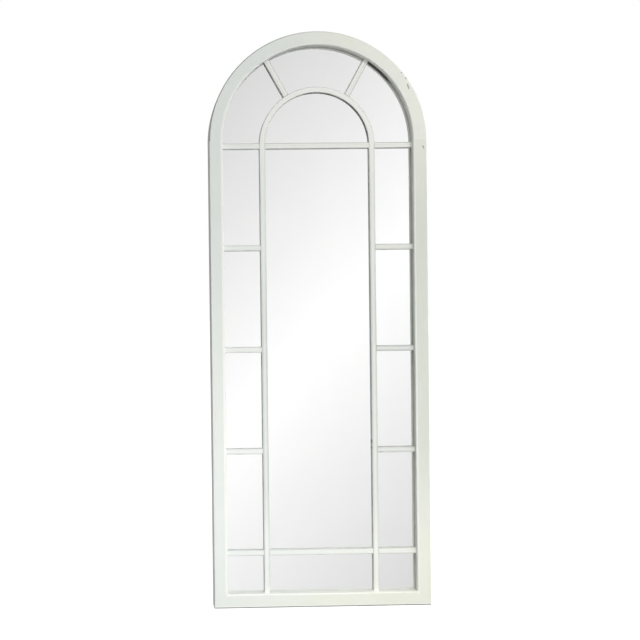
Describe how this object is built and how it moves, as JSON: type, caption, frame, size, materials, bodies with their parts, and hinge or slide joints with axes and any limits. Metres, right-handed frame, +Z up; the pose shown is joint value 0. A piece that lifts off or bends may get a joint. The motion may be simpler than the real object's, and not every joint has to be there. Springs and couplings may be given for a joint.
{
  "type": "arched window mirror",
  "caption": "Full length mirror with a half round head, a flat painted wooden frame and glazing bars laid on one sheet of glass, with rings behind to hang it.",
  "frame": {"origin": "on the floor line, in the middle of the width and of the depth from the frame's face to the wall", "axes": "+X to the right as seen from the front, +Y towards the wall, +Z up"},
  "size_m": [0.64, 0.044, 1.69],
  "materials": {
    "painted_frame": "off-white satin paint, lightly worn on the arrises",
    "painted_bar": "off-white satin paint with brush marks",
    "raw_wood": "planed, unpainted",
    "mirror": "silvered glass",
    "backing_board": "hardboard, smooth face",
    "clip_steel": "zinc plated",
    "hanger_steel": "zinc plated",
    "screw_steel": "zinc plated",
    "rubber": "matt"
  },
  "bodies": {
    "frame": {"left_stile": "painted_frame", "right_stile": "painted_frame", "bottom_rail": "painted_frame", "arch_left_lower": "painted_frame", "arch_left_upper": "painted_frame", "arch_right_upper": "painted_frame", "arch_right_lower": "painted_frame", "left_upright": "painted_bar", "right_upright": "painted_bar", "spring_transom": "painted_bar", "bottom_transom": "painted_bar", "inner_arch_bar": "painted_bar", "left_spoke": "painted_bar", "right_spoke": "painted_bar", "left_bar_upper": "painted_bar", "left_bar_middle": "painted_bar", "left_bar_lower": "painted_bar", "right_bar_upper": "painted_bar", "right_bar_middle": "painted_bar", "right_bar_lower": "painted_bar", "arch_tongues": "raw_wood", "mirror_glass": "mirror", "backing_board": "backing_board", "setting_blocks": "rubber", "backing_clips": "clip_steel", "clip_screws": "screw_steel", "left_hanger_strap": "hanger_steel", "right_hanger_strap": "hanger_steel", "hanger_screws": "screw_steel", "wall_bumpers": "rubber", "bumper_screws": "screw_steel"},
    "left_ring": {"left_hanger_ring": "hanger_steel"},
    "right_ring": {"right_hanger_ring": "hanger_steel"}
  },
  "joints": [
    {"name": "left_ring_swing", "type": "hinge", "parent": "frame", "child": "left_ring", "pos_m": [-0.305, 0.0173, 1.25], "axis": [1, 0, 0], "range_deg": [0, 180]},
    {"name": "right_ring_swing", "type": "hinge", "parent": "frame", "child": "right_ring", "pos_m": [0.305, 0.0173, 1.25], "axis": [1, 0, 0], "range_deg": [0, 180]}
  ]
}
